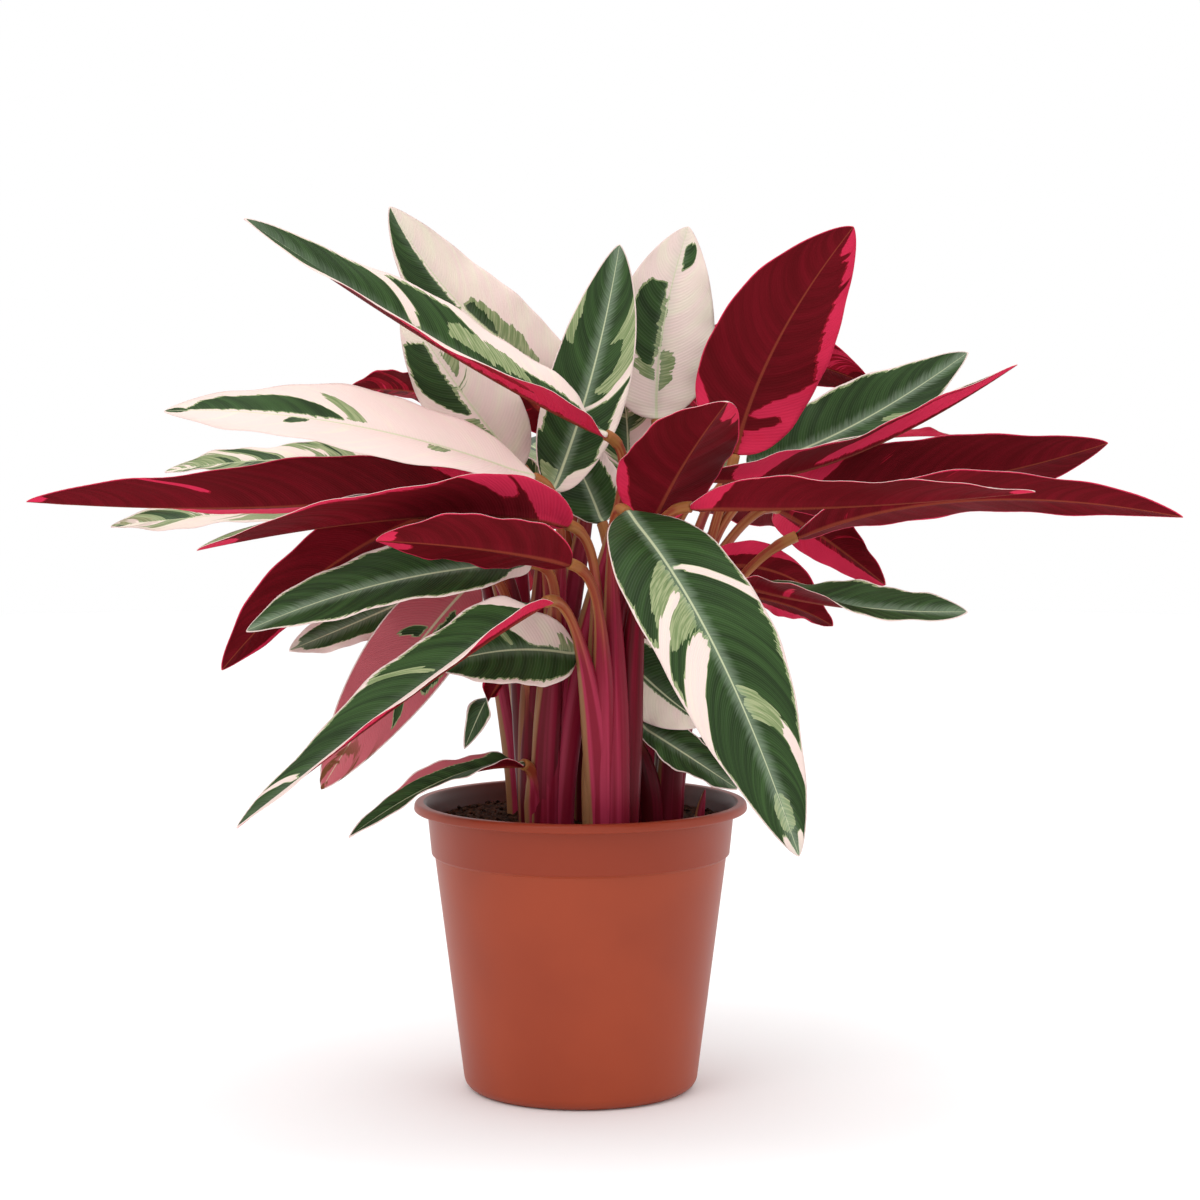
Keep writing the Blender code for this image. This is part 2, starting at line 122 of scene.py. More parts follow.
# Blades
STALK_HALF = 1.7       # half the height of the stalk where a blade begins
STALK_SHARE = 0.04     # how soon the stalk fades into the blade, as a share of its length
RIDGE = 1.5            # how far the midrib stands out below the blade
RIDGE_WIDTH = 1.5
GROOVE = 0.5           # how deep the midrib lies in the upper face
GROOVE_WIDTH = 1.6
WIDEST = (0.53, 0.74)  # powers of the distance to the base and to the tip in the outline
BLADE_THICKNESS = 0.5
ROW_PITCH = 1.5        # distance between a blade's rows of points
MOST_ROWS, FEWEST_ROWS = 125, 56
ROW_POWER = 1.12       # draws the rows together near the base
BLADE_HALF_COLUMNS = 14
VEIN_SWEEP = 1.65      # how far towards the tip a vein runs before it meets the edge, in half widths
MOST_SWEEP = 0.23      # and at most, as a share of the blade's length
VEIN_RISE = 0.05       # how high the veins stand
VEIN_ROWS = 3          # rows of points from one vein to the next
BROAD_WAVE, FINE_WAVE = 1.5, 0.5      # heights of the waves along the edge
BROAD_WAVES, FINE_WAVES = 2.2, 6.1    # and how many of them there are

# The leaves' points are measured as they show from this viewpoint, in the plane through the pot's
# axis: across, height, and then how far the point lies behind that plane.
EYE = Vector((10, -1600, 383))

Leaf = namedtuple("Leaf", "name cane base middle tip half face_base face_tip fold_base fold_tip")

LEAF_ROWS = (
    # front, and front right
    ("front", (24, 298, -62), (69, 229, -118), (113, 120, -128), 32, (10, -60, 80), (25, -90, 35), 8, 8),
    ("front", (37, 293, -35), (53, 324, -62), (75, 355, -100), 29, (-30, 80, 50), (-30, 80, 50), 18, 20),
    ("left", (-14, 309, -22), (6, 369, -8), (20, 435, 8), 21, (-15, -100, 25), (5, -100, 20), 14, 14),
    ("middle", (39, 346, 24), (42, 391, 28), (55, 444, 28), 28, (0, -100, 20), (10, -100, 20), 12, 12),
    ("right", (79, 328, 14), (100, 385, 15), (139, 444, 0), 33, (-25, 100, 10), (-25, 100, 20), 10, 12),
    ("right", (86, 321, 48), (140, 343, 62), (198, 380, 60), 25, (-10, -75, 65), (-10, -75, 65), 14, 14),
    ("right", (57, 317, -6), (130, 325, 2), (223, 374, 14), 17, (0, 10, 98), (0, 10, 98), 46, 42),
    ("right", (100, 310, 18), (181, 313, 26), (270, 334, 28), 26, (0, 85, 50), (0, 85, 50), 22, 14),
    ("right", (111, 286, -14), (202, 305, -4), (309, 296, 4), 17, (0, 65, 75), (0, 75, 60), 22, 20),
    ("front", (57, 301, -48), (138, 302, -68), (233, 309, -64), 21, (0, 42, 90), (0, 5, 100), 42, 30),
    ("back_right", (101, 300, 62), (127, 284, 84), (157, 261, 60), 15, (10, 90, 30), (10, 90, 30), 14, 14),
    ("right", (81, 262, -26), (138, 250, -52), (199, 247, -66), 20, (0, 30, 95), (0, -70, 70), 40, 12),
    ("right", (73, 257, 12), (104, 252, 14), (130, 240, 12), 15, (0, 60, 80), (0, 70, 70), 20, 14),
    ("right", (64, 268, 0), (92, 270, -2), (121, 257, -4), 13, (0, 97, 20), (0, 97, 20), 14, 14),
    ("back_right", (63, 306, 64), (88, 303, 94), (114, 289, 118), 20, (0, 80, 60), (0, 80, 60), 12, 12),
    # left
    ("left", (13, 338, -34), (-70, 382, -58), (-171, 448, -46), 24, (20, -30, 95), (20, -52, 85), 48, 36),
    ("back_left", (-4, 366, 22), (-56, 399, 24), (-97, 454, 16), 24, (10, -90, 40), (10, -90, 40), 14, 14),
    ("left", (-30, 321, 0), (-61, 360, -4), (-90, 404, 0), 23, (10, -95, 30), (10, -95, 30), 14, 14),
    ("left", (-24, 316, -52), (-118, 343, -84), (-213, 350, -76), 23, (0, -65, 75), (0, -65, 75), 18, 12),
    ("left", (-37, 315, -24), (-152, 302, -32), (-284, 304, -30), 27, (0, 60, 80), (0, 50, 87), 34, 30),
    ("front", (-7, 292, -58), (-87, 296, -92), (-197, 279, -82), 29, (0, 50, 87), (0, -20, 95), 40, 34),
    ("left", (-82, 304, 20), (-169, 298, 24), (-241, 291, 18), 22, (0, -35, 94), (0, -35, 94), 14, 10),
    ("back_left", (-92, 326, 44), (-159, 325, 52), (-213, 319, 50), 15, (0, -40, 90), (0, -40, 90), 14, 10),
    ("front", (-6, 272, -78), (-52, 280, -102), (-105, 284, -108), 20, (0, 70, 70), (0, 70, 70), 24, 16),
    ("left", (-26, 272, -54), (-100, 262, -82), (-172, 237, -88), 22, (0, -60, 80), (0, -60, 80), 14, 12),
    ("left", (-70, 300, 10), (-130, 270, -4), (-185, 217, -26), 21, (-30, 80, 40), (-30, 80, 40), 18, 18),
    ("back_left", (-76, 259, 8), (-112, 243, 10), (-150, 227, 0), 15, (0, -80, 60), (0, -80, 60), 10, 10),
    ("left", (-54, 264, -16), (-92, 219, -26), (-134, 155, -34), 22, (20, -90, 30), (20, -90, 30), 12, 12),
    ("front", (-18, 252, -86), (-77, 212, -124), (-178, 135, -130), 22, (-30, -26, 90), (-30, -45, 80), 46, 34),
    ("front", (-2, 225, -46), (-39, 227, -68), (-76, 218, -92), 23, (0, -85, 50), (0, -85, 50), 14, 12),
    ("left", (-36, 216, -30), (-47, 204, -34), (-60, 176, -34), 8, (-30, 80, 40), (30, -60, 40), 14, 14),
    ("left", (-30, 168, -38), (-70, 160, -66), (-120, 130, -90), 11, (0, -20, 98), (0, -40, 90), 40, 24),
    # low, inside the clump
    ("middle", (16, 231, -16), (40, 207, -15), (64, 189, -20), 19, (10, -99, 5), (10, -99, 10), 16, 16),
    ("right", (31, 188, -16), (56, 172, -22), (81, 155, -28), 13, (20, -70, 70), (20, -70, 70), 14, 10),
    ("right", (56, 178, 15), (66, 168, 21), (76, 157, 27), 12, (20, -70, 70), (20, -70, 70), 14, 10),
    ("middle", (11, 293, 0), (2, 315, 6), (-9, 337, 10), 18, (30, -90, 20), (30, -90, 20), 16, 16),
    # behind
    ("back_right", (36, 319, 44), (30, 366, 52), (31, 414, 56), 18, (40, 90, 10), (40, 90, 10), 18, 18),
    ("middle", (23, 304, 28), (24, 340, 38), (19, 376, 44), 20, (20, -100, 0), (20, -100, 0), 16, 16),
    ("back_right", (47, 355, 86), (90, 377, 104), (149, 363, 100), 26, (0, 80, 60), (0, 80, 60), 12, 12),
    ("back_right", (56, 314, 64), (70, 331, 74), (94, 356, 84), 16, (-30, -80, 50), (-30, -80, 50), 14, 14),
    ("back_right", (112, 329, 84), (153, 337, 96), (193, 337, 98), 14, (0, 10, 100), (0, 10, 100), 20, 14),
    ("back_left", (-56, 354, 64), (-87, 361, 76), (-119, 361, 84), 15, (0, 60, 80), (0, 60, 80), 16, 14),
    ("back_left", (-10, 340, 50), (-30, 360, 58), (-43, 375, 64), 14, (-30, 90, 30), (-30, 90, 30), 14, 14),
    ("back_left", (-18, 304, 26), (-41, 319, 30), (-64, 328, 34), 15, (0, -70, 70), (0, -70, 70), 14, 14),
    ("back_left", (-10, 314, 76), (-30, 334, 150), (-49, 320, 224), 25, (0, 0, 100), (0, 20, 100), 22, 16),
    ("back_right", (20, 315, 84), (30, 339, 162), (43, 332, 238), 25, (0, 0, 100), (0, 20, 100), 22, 16),
    ("back_right", (37, 273, 66), (51, 274, 140), (62, 232, 200), 24, (0, 0, 100), (10, 50, 80), 22, 16),
    ("back_left", (-11, 273, 56), (-25, 276, 134), (-40, 243, 194), 24, (0, 0, 100), (-10, 50, 80), 22, 16),
)

LEAVES = [Leaf(f"leaf_{number:02d}", *row) for number, row in enumerate(LEAF_ROWS, 1)]

# Markings. A row gives how pale the leaf is at large, how pink its pale parts are, how silver its midrib
# is, how much of it is left to chance, and its patches. A patch is (level, side, from, to, inner, outer):
# level 0 is dark green, 0.55 is sage and 1 is cream. The right is seen from above with the tip up. From
# and to are where its veins leave the midrib, as shares of the length, and inner and outer are its bounds
# between the midrib at 0 and the edge at 1.
GREEN, SAGE, CREAM = 0.0, 0.55, 1.0
LEFT, BOTH, RIGHT = -1, 0, 1
PATCH_END = 0.006      # half the width over which a patch fades at its ends,
PATCH_SIDE = 0.05      # at its inner bound
PATCH_RIM = 0.06       # and at its outer bound
RAGGED = 0.05          # how far its bounds wander
Look = namedtuple("Look", "pale pink silver chance patches")
LOOKS = {
    "leaf_01": Look(0.1, 0.75, 0.9, 0.15, (
        (CREAM, LEFT, 0.225, 0.262, 0.03, 1), (SAGE, RIGHT, 0.2, 0.43, 0.06, 0.72),
        (CREAM, RIGHT, 0.3, 0.345, 0.1, 1), (CREAM, RIGHT, 0.41, 0.53, 0.07, 1),
        (SAGE, LEFT, 0.6, 0.69, 0.05, 0.75), (CREAM, LEFT, 0.6, 0.7, 0.62, 1),
        (CREAM, BOTH, 0.1, 1.1, 0.95, 1), (CREAM, BOTH, 0.9, 1.1, 0.35, 1),
        (SAGE, BOTH, 0.86, 0.95, 0, 0.4))),
    "leaf_02": Look(0.08, 0.9, 0.1, 0.12, (
        (CREAM, LEFT, 0.7, 1.1, 0.3, 1), (CREAM, LEFT, 0.6, 0.72, 0.75, 1),
        (CREAM, RIGHT, 0.0, 0.25, 0.75, 1), (CREAM, LEFT, 0, 0.1, 0.3, 1))),
    "leaf_03": Look(0.08, 0.6, 0.9, 0.12, (
        (SAGE, RIGHT, 0.34, 0.64, 0.1, 1), (CREAM, RIGHT, 0.33, 0.37, 0.04, 1),
        (GREEN, RIGHT, 0.42, 0.6, 0.08, 0.62), (CREAM, RIGHT, 0.0, 0.09, 0.3, 1),
        (CREAM, RIGHT, 0.09, 0.32, 0.8, 1), (SAGE, LEFT, 0.0, 0.09, 0.1, 0.9),
        (CREAM, LEFT, 0.12, 0.24, 0.84, 1), (SAGE, LEFT, 0.4, 0.62, 0.72, 1))),
    "leaf_04": Look(0.95, 0.6, 0.4, 0.1, (
        (GREEN, LEFT, 0.26, 0.74, 0.12, 0.66), (SAGE, LEFT, 0.22, 0.3, 0.04, 0.6),
        (SAGE, LEFT, 0.3, 0.7, 0.0, 0.12), (GREEN, RIGHT, 0.78, 0.92, 0.2, 0.75),
        (SAGE, RIGHT, 0.16, 0.4, 0.02, 0.34))),
    "leaf_05": Look(0.08, 1.0, 0.1, 0.12, (
        (CREAM, LEFT, 0.0, 0.26, 0.06, 1), (GREEN, LEFT, 0.11, 0.17, 0.0, 0.7),
        (CREAM, LEFT, 0.24, 1.1, 0.7, 1), (GREEN, LEFT, 0.62, 0.68, 0.4, 0.92),
        (CREAM, LEFT, 0.8, 1.1, 0.25, 1), (GREEN, LEFT, 0.84, 0.87, 0.2, 0.7),
        (CREAM, RIGHT, 0, 0.16, 0.7, 1))),
    "leaf_06": Look(0.06, 0.8, 1.0, 0.1, (
        (CREAM, BOTH, 0, 1.1, 0.94, 1), (SAGE, RIGHT, 0.55, 0.62, 0.3, 0.8))),
    "leaf_07": Look(0.12, 1.0, 0.1, 0.2, (
        (CREAM, RIGHT, 0.12, 0.3, 0, 1), (CREAM, RIGHT, 0.42, 1.1, 0.1, 0.85),
        (CREAM, BOTH, 0, 1.1, 0.9, 1), (SAGE, LEFT, 0.2, 0.8, 0.1, 0.8))),
    "leaf_08": Look(0.1, 1.0, 0.1, 0.2, ((CREAM, RIGHT, 0, 0.16, 0.1, 1),)),
    "leaf_09": Look(0.1, 1.0, 0.1, 0.2, ()),
    "leaf_10": Look(0.12, 1.0, 0.1, 0.2, (
        (CREAM, RIGHT, 0, 0.1, 0, 1), (CREAM, BOTH, 0.9, 1.1, 0, 1))),
    "leaf_11": Look(0.3, 1.0, 0.1, 0.4, ((CREAM, LEFT, 0, 1.1, 0.25, 1),)),
    "leaf_12": Look(0.08, 0.8, 0.9, 0.2, (
        (CREAM, BOTH, 0, 1.1, 0.94, 1), (CREAM, RIGHT, 0.2, 0.24, 0, 0.6))),
    "leaf_13": Look(0.1, 1.0, 0.1, 0.2, ((CREAM, LEFT, 0, 0.7, 0.55, 1),)),
    "leaf_14": Look(0.1, 1.0, 0.1, 0.2, ((CREAM, RIGHT, 0, 0.6, 0.45, 1),)),
    "leaf_15": Look(0.15, 1.0, 0.1, 0.3, ((CREAM, RIGHT, 0, 0.6, 0.3, 1),)),
    "leaf_16": Look(0.12, 0.8, 0.5, 0.3, (
        (CREAM, LEFT, 0, 0.72, 0.05, 1), (CREAM, BOTH, 0, 0.4, 0.55, 1),
        (SAGE, BOTH, 0.2, 0.5, 0.3, 0.7), (CREAM, BOTH, 0, 1.1, 0.92, 1),
        (CREAM, RIGHT, 0.55, 0.6, 0.1, 1))),
    "leaf_17": Look(0.95, 0.5, 0.3, 0.1, (
        (GREEN, LEFT, 0.38, 1.1, 0.1, 0.88), (SAGE, LEFT, 0.3, 0.38, 0.05, 0.8),
        (SAGE, RIGHT, 0.14, 0.56, 0.02, 0.42), (GREEN, RIGHT, 0.36, 0.54, 0.02, 0.2),
        (GREEN, LEFT, 0.1, 0.2, 0.3, 0.6))),
    "leaf_18": Look(0.9, 0.5, 0.2, 0.2, (
        (GREEN, LEFT, 0.35, 0.8, 0.15, 0.9), (SAGE, LEFT, 0.2, 0.35, 0.05, 0.9),
        (GREEN, LEFT, 0.05, 0.16, 0.3, 1), (SAGE, RIGHT, 0.55, 0.7, 0.1, 0.5))),
    "leaf_19": Look(0.95, 0.8, 0.1, 0.1, (
        (GREEN, RIGHT, 0.5, 0.95, 0.1, 0.7), (SAGE, RIGHT, 0.44, 0.5, 0.1, 0.7),
        (SAGE, LEFT, 0.22, 0.29, 0.04, 0.35), (GREEN, LEFT, 0.6, 0.66, 0.05, 0.3),
        (GREEN, BOTH, 0.93, 1.1, 0, 0.5))),
    "leaf_20": Look(0.08, 1.0, 0.1, 0.15, (
        (CREAM, LEFT, 0, 0.14, 0.2, 1), (CREAM, LEFT, 0.6, 0.63, 0.35, 1),
        (CREAM, RIGHT, 0, 1.1, 0.62, 1), (CREAM, BOTH, 0.94, 1.1, 0, 1))),
    "leaf_21": Look(0.08, 1.0, 0.3, 0.12, (
        (CREAM, LEFT, 0, 0.15, 0.02, 1), (CREAM, LEFT, 0.15, 0.24, 0.45, 1),
        (CREAM, LEFT, 0.24, 0.6, 0.86, 1), (SAGE, RIGHT, 0.3, 1.1, 0.05, 0.9),
        (CREAM, RIGHT, 0, 0.3, 0.3, 1), (CREAM, LEFT, 0.86, 1.1, 0, 1))),
    "leaf_22": Look(0.6, 0.4, 0.2, 0.7, (
        (SAGE, LEFT, 0, 0.5, 0.1, 0.9), (CREAM, BOTH, 0, 1.1, 0.85, 1))),
    "leaf_23": Look(0.6, 0.4, 0.2, 0.9, ()),
    "leaf_24": Look(0.08, 1.0, 0.1, 0.15, (
        (CREAM, RIGHT, 0.74, 1.1, 0.2, 1), (CREAM, LEFT, 0.86, 1.1, 0, 1),
        (CREAM, LEFT, 0.8, 1.1, 0.5, 1))),
    "leaf_25": Look(0.06, 1.0, 1.0, 0.15, (
        (CREAM, BOTH, 0, 1.1, 0.92, 1), (SAGE, RIGHT, 0.02, 0.12, 0.2, 1),
        (CREAM, LEFT, 0.0, 0.08, 0.4, 1))),
    "leaf_26": Look(0.12, 1.0, 0.1, 0.3, ((CREAM, RIGHT, 0.0, 0.9, 0.82, 1),)),
    "leaf_27": Look(0.05, 0.9, 0.9, 0.1, (
        (CREAM, BOTH, 0, 1.1, 0.66, 1), (CREAM, BOTH, 0.86, 1.1, 0.2, 1),
        (CREAM, LEFT, 0.0, 0.15, 0.2, 1))),
    "leaf_28": Look(0.95, 2.5, 0.1, 0.1, (
        (GREEN, LEFT, 0.16, 0.46, 0.15, 0.85), (GREEN, LEFT, 0.5, 0.58, 0.3, 0.8),
        (GREEN, RIGHT, 0.3, 0.36, 0.1, 0.5))),
    "leaf_29": Look(0.06, 0.9, 0.3, 0.12, (
        (CREAM, LEFT, 0, 1.1, 0.1, 1), (CREAM, RIGHT, 0, 0.14, 0.2, 1),
        (GREEN, RIGHT, 0.02, 0.07, 0.2, 0.8), (SAGE, RIGHT, 0.45, 0.49, 0.1, 1),
        (CREAM, RIGHT, 0.84, 0.88, 0.1, 1), (CREAM, BOTH, 0, 1.1, 0.93, 1))),
    "leaf_30": Look(0.06, 0.5, 0.5, 0.12, (
        (CREAM, RIGHT, 0, 0.42, 0.1, 1), (SAGE, RIGHT, 0.0, 0.12, 0.06, 0.7),
        (SAGE, RIGHT, 0.4, 0.48, 0.1, 1), (CREAM, BOTH, 0, 1.1, 0.86, 1))),
    "leaf_31": Look(0.1, 1.0, 0.2, 0.3, ((CREAM, BOTH, 0, 1.1, 0.85, 1),)),
    "leaf_32": Look(0.02, 2.5, 0.0, 0.1, ((CREAM, RIGHT, 0.1, 0.62, 0.55, 1),)),
    "leaf_33": Look(0.1, 0.3, 0.3, 0.2, (
        (CREAM, RIGHT, 0.0, 1.1, 0.12, 1), (CREAM, LEFT, 0, 1.1, 0.8, 1))),
    "leaf_34": Look(0.06, 0.8, 0.7, 0.1, ()),
    "leaf_35": Look(0.06, 0.8, 0.7, 0.1, ()),
    "leaf_36": Look(0.06, 0.8, 0.9, 0.1, ((CREAM, RIGHT, 0, 1.1, 0.72, 1),)),
    "leaf_37": Look(0.25, 1.0, 0.1, 0.3, ((CREAM, LEFT, 0, 1.1, 0.5, 1),)),
    "leaf_40": Look(0.6, 0.4, 0.2, 0.8, ()),
    "leaf_41": Look(0.9, 0.7, 0.1, 0.3, ()),
}
CHANCE_LOOK = Look(0.25, 0.9, 0.4, 0.7, ())    # for a leaf without a row

# Colours. A leaf's face has two tones each for its dark, sage and pale parts.
Face = namedtuple("Face", "tones midrib midrib_width veins roughness gloss")
UPPER_FACE = Face(
    ((0.015, 0.033, 0.008), (0.036, 0.080, 0.020), (0.18, 0.24, 0.100),
     (0.34, 0.38, 0.20), (0.82, 0.74, 0.60), (0.84, 0.66, 0.61)),
    (0.60, 0.64, 0.40), 1.0, (0.34, 0.43, 0.31), 0.33, 0.10)
UNDER_FACE = Face(
    ((0.105, 0.003, 0.006), (0.155, 0.004, 0.010), (0.24, 0.006, 0.015),
     (0.36, 0.008, 0.026), (0.60, 0.008, 0.040), (0.66, 0.025, 0.080)),
    (0.27, 0.048, 0.025), 1.4, (0.20, 0.010, 0.020), 0.55, 0.06)
ROSY = (0.50, 0.105, 0.13)
ROSY_FROM = (1.4, 1.6)       # a leaf pinker than this is rosy all over
SAGE_FROM = (0.37, 0.41)     # the levels where sage and cream begin
CREAM_FROM = (0.68, 0.72)
VEIN_PITCH = 1.7
DRY_BROWN = (0.16, 0.055, 0.02)
DRY = {"leaf_28": 1.0, "leaf_22": 0.3}    # how dry a leaf's tip is

STEM_REDS = ((0.09, 0.003, 0.007), (0.24, 0.008, 0.028))
STEM_PINKS = ((0.17, 0.005, 0.019), (0.40, 0.030, 0.075))
STALK_BROWNS = ((0.28, 0.045, 0.020), (0.42, 0.16, 0.055))
STEM_OLIVE = (0.30, 0.14, 0.06)
JOINT_OCHRE = (0.36, 0.16, 0.045)

POT_TERRACOTTA = ((0.285, 0.040, 0.012), (0.32, 0.047, 0.014))
# painted shade: the collar's colour is darkened as if the leaves shade it
COLLAR_PAINTED_SHADE = (0.26, 0.032, 0.009)
# painted shade: the inside of the pot's wall is darkened as if in shadow
POT_INSIDE_SHADE = (0.09, 0.013, 0.005)
PEAT_BROWNS = ((0.012, 0.004, 0.002), (0.075, 0.026, 0.011))
PEAT_BITS = (0.24, 0.13, 0.065)

# Stage, in metres
FLOOR_REACH = 3.0
FLOOR_SIDES = 96
FLOOR_WHITE = (0.96, 0.96, 0.96)
LAMPS = (
    # name, place, size and power in watts
    ("key", (-1.1, -1.5, 1.7), 1.3, 12),
    ("fill", (1.6, -1.3, 1.1), 1.4, 4),
    ("top", (0.1, 0.3, 2.0), 1.4, 10),
)
LAMPS_FACE = Vector((0, 0, 0.25))
CAMERA_PITCH = 4.64    # downwards, in degrees
CAMERA_LENS = 93.68    # in millimetres, for a frame 36 mm wide
CAMERA_FRAME = 36


# Blades

def seen(place):
    """The point that shows at (across, height) in the plane through the pot's axis, at depth behind it."""
    across, height, depth = place
    on_plane = Vector((across, 0, height))
    return EYE + (on_plane - EYE) * (1 - depth / EYE.y)


def smoothstep(low, high, x):
    s = min(1, max(0, (x - low) / (high - low)))
    return s * s * (3 - 2 * s)


def midrib(leaf, t):
    """A point on the midrib and its direction, on the parabola through the leaf's base, middle and tip."""
    base, middle, tip = seen(leaf.base), seen(leaf.middle), seen(leaf.tip)
    bend = 2 * middle - (base + tip) / 2
    point = base * (1 - t) ** 2 + bend * (2 * t * (1 - t)) + tip * t ** 2
    along = (bend - base) * (1 - t) + (tip - bend) * t
    return point, along.normalized()


def blade_length(leaf):
    points = [midrib(leaf, k / 12)[0] for k in range(13)]
    return sum((b - a).length for a, b in zip(points, points[1:]))


def half_width(leaf, t):
    """Half the blade's width: round at the base, drawn to a point at the tip."""
    near_base, near_tip = WIDEST
    peak = near_base / (near_base + near_tip)
    largest = peak ** near_base * (1 - peak) ** near_tip
    stalk = STALK_HALF * (1 - 0.9 * t) + 0.5 * (1 - t)
    return max(stalk, leaf.half * t ** near_base * (1 - t) ** near_tip / largest)


def wave(leaf, t, v):
    """The height of the waved edge above the blade, in millimetres."""
    phase = LEAVES.index(leaf) * 2.4 + (1.3 if v > 0 else 0)
    broad = BROAD_WAVE * sin(2 * pi * BROAD_WAVES * t + phase)
    fine = FINE_WAVE * sin(2 * pi * FINE_WAVES * t + 1.7 * phase) * abs(v)
    return (broad + fine) * v * v * smoothstep(0, 0.25, t) * smoothstep(1, 0.8, t)


def paleness(leaf, look, seed, q, v):
    """How pale the leaf is at a vein's start q and at v between the midrib and the edge."""
    side = 1 if v > 0 else -1
    level = look.pale
    if look.chance:
        broad = noise.noise(Vector((q * 9, side * 3.1, seed * 5.7)))
        narrow = noise.noise(Vector((q * 34, side * 6.3 + abs(v), seed * 3.3)))
        level += look.chance * (1.1 * broad + 0.45 * narrow)
    for patch_level, patch_side, start, end, inner, outer in look.patches:
        if patch_side and patch_side != side:
            continue
        # a patch narrows to both ends, except at the leaf's base and tip
        off = (2 * q - start - end) / (end - start)
        if (off < 0 and start <= 0) or (off > 0 and end > 1):
            off = 0
        taper = min(1, off ** 4)
        ragged = RAGGED * noise.noise(Vector((q * 60, abs(v) * 2, seed + patch_level)))
        share = smoothstep(end + PATCH_END, end - PATCH_END, q)
        if start > 0:
            share *= smoothstep(start - PATCH_END, start + PATCH_END, q)
        if outer < 1:
            high = outer * (1 - taper)
            share *= smoothstep(high + PATCH_RIM, high - PATCH_RIM, abs(v) + ragged)
            low = inner
        else:
            low = inner + (1 - inner) * taper
        share *= smoothstep(low - PATCH_SIDE, low + PATCH_SIDE, abs(v) + ragged)
        level += (patch_level - level) * share
    return level


def blade_faces(rows, columns):
    """A blade's faces, from its upper and then its lower points, and their finishes: 0 above, 1 below."""
    under = rows * columns
    faces, finishes = [], []
    for i in range(rows - 1):
        for j in range(columns - 1):
            a, b = i * columns + j, i * columns + j + 1
            faces.append((a, b, b + columns, a + columns))
            finishes.append(0)
            faces.append((under + a, under + a + columns, under + b + columns, under + b))
            finishes.append(1)
        for j, turn in ((0, 1), (columns - 1, -1)):
            a, c = i * columns + j, (i + 1) * columns + j
            faces.append((a, c, under + c, under + a)[::turn])
            finishes.append(0)
    for i, turn in ((0, -1), (rows - 1, 1)):
        for j in range(columns - 1):
            a, b = i * columns + j, i * columns + j + 1
            faces.append((a, b, under + b, under + a)[::turn])
            finishes.append(0)
    return faces, finishes


def make_blade(leaf, upper_finish, under_finish):
    """One blade: a closed thin skin with its marking stored at every point."""
    seed = LEAVES.index(leaf) + 1
    look = LOOKS.get(leaf.name, CHANCE_LOOK)
    length = blade_length(leaf)
    sweep = min(MOST_SWEEP, VEIN_SWEEP * leaf.half / length)
    steps = int(min(MOST_ROWS, max(FEWEST_ROWS, length / ROW_PITCH)))
    rows = [(k / steps) ** ROW_POWER for k in range(steps + 1)]
    columns = [k / BLADE_HALF_COLUMNS for k in range(-BLADE_HALF_COLUMNS, BLADE_HALF_COLUMNS + 1)]
    upper, lower, place, share = [], [], [], []
    for k, q in enumerate(rows):
        for v in columns:
            # each row follows a vein, which leaves the midrib at q and sweeps on towards the tip
            t = q + sweep * 4 * q * (1 - q) * (0.3 * abs(v) + 0.7 * v * v)
            point, along = midrib(leaf, t)
            hint = Vector(leaf.face_base).lerp(Vector(leaf.face_tip), t)
            normal = (hint - along * hint.dot(along)).normalized()
            side = along.cross(normal)
            fold = radians(leaf.fold_base + (leaf.fold_tip - leaf.fold_base) * t) * smoothstep(0, 0.12, t)
            half = half_width(leaf, t)
            stalk = exp(-(t / STALK_SHARE) ** 2)
            angle = fold * (1 - 0.25 * abs(v))
            reach = half * abs(v)
            hand = 1 if v > 0 else -1
            ribbed = VEIN_RISE * sin(2 * pi * k / VEIN_ROWS) * smoothstep(0, 0.15, abs(v)) * (1 - stalk)
            groove = -GROOVE * exp(-(reach / GROOVE_WIDTH) ** 2) * (1 - t) * (1 - stalk)
            lift = wave(leaf, t, v) + ribbed + groove
            centre = point + side * (hand * reach * cos(angle)) + normal * (reach * sin(angle) + lift)
            outward = (normal * cos(angle) - side * (hand * sin(angle))) if v else normal
            swell = stalk * STALK_HALF * sqrt(max(0, 1 - v * v)) * 0.8
            rib = RIDGE * (1 - 0.8 * t) * exp(-(reach / RIDGE_WIDTH) ** 2) * (1 - stalk)
            thick = BLADE_THICKNESS / 2 * (1 - 0.6 * abs(v) ** 6)
            upper.append(centre + outward * (thick + swell))
            lower.append(centre - outward * (thick + swell + rib))
            place.append((q * length, reach * hand, seed * 1.0))
            share.append((t, half - reach, paleness(leaf, look, seed, q, v)))
    faces, finishes = blade_faces(len(rows), len(columns))
    obj = new_object(leaf.name + "_blade", upper + lower, faces, upper_finish)
    obj.data.materials.append(under_finish)
    obj.data.polygons.foreach_set("material_index", finishes)
    add_vectors(obj, "place", place + place)
    add_vectors(obj, "share", share + share)
    add_vectors(obj, "look", [(look.pink, look.silver, DRY.get(leaf.name, 0.0))] * (2 * len(upper)))
    dress(obj, leaf.name)
    return obj


# Meshes

def new_object(name, points, faces, finish):
    mesh = bpy.data.meshes.new(name)
    mesh.from_pydata([Vector(p) * MM for p in points], [], faces)
    mesh.materials.append(finish)
    mesh.shade_smooth()
    obj = bpy.data.objects.new(name, mesh)
    bpy.context.scene.collection.objects.link(obj)
    return obj


def add_vectors(obj, name, values):
    made = obj.data.attributes.new(name, "FLOAT_VECTOR", "POINT")
    made.data.foreach_set("vector", [number for value in values for number in value])


def dress(obj, node):
    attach(obj, "root")
    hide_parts(node)


def circle(radius, height, sides):
    """Points round the Z axis."""
    angles = [2 * pi * k / sides for k in range(sides)]
    return [(radius * cos(a), radius * sin(a), height) for a in angles]


